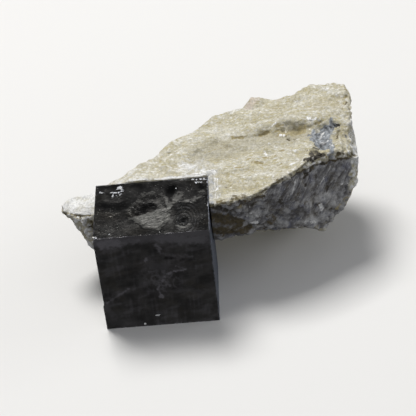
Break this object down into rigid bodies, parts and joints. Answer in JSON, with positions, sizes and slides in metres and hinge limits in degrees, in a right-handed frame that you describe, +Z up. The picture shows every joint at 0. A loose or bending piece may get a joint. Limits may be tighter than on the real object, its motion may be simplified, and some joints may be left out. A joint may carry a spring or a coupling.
{
  "type": "pyrite crystal on marl matrix",
  "caption": "Dark metallic pyrite crystal, a squat cuboid, gripped by its back in an elongated rough chunk of pale tan marl; a mineral specimen that rests on a table or shelf.",
  "frame": {"origin": "centre of the crystal's flat bottom face, which rests on the table", "axes": "+X to the right along the stone's length, from its pointed tip to its broad end; +Y from the crystal's free front face back into the marl; +Z up"},
  "size_m": [0.0542, 0.0371, 0.0253],
  "materials": {
    "pyrite": "satin",
    "marl": "matte"
  },
  "bodies": {
    "root": {"pyrite_cube": "pyrite", "marl_matrix": "marl"}
  },
  "joints": []
}
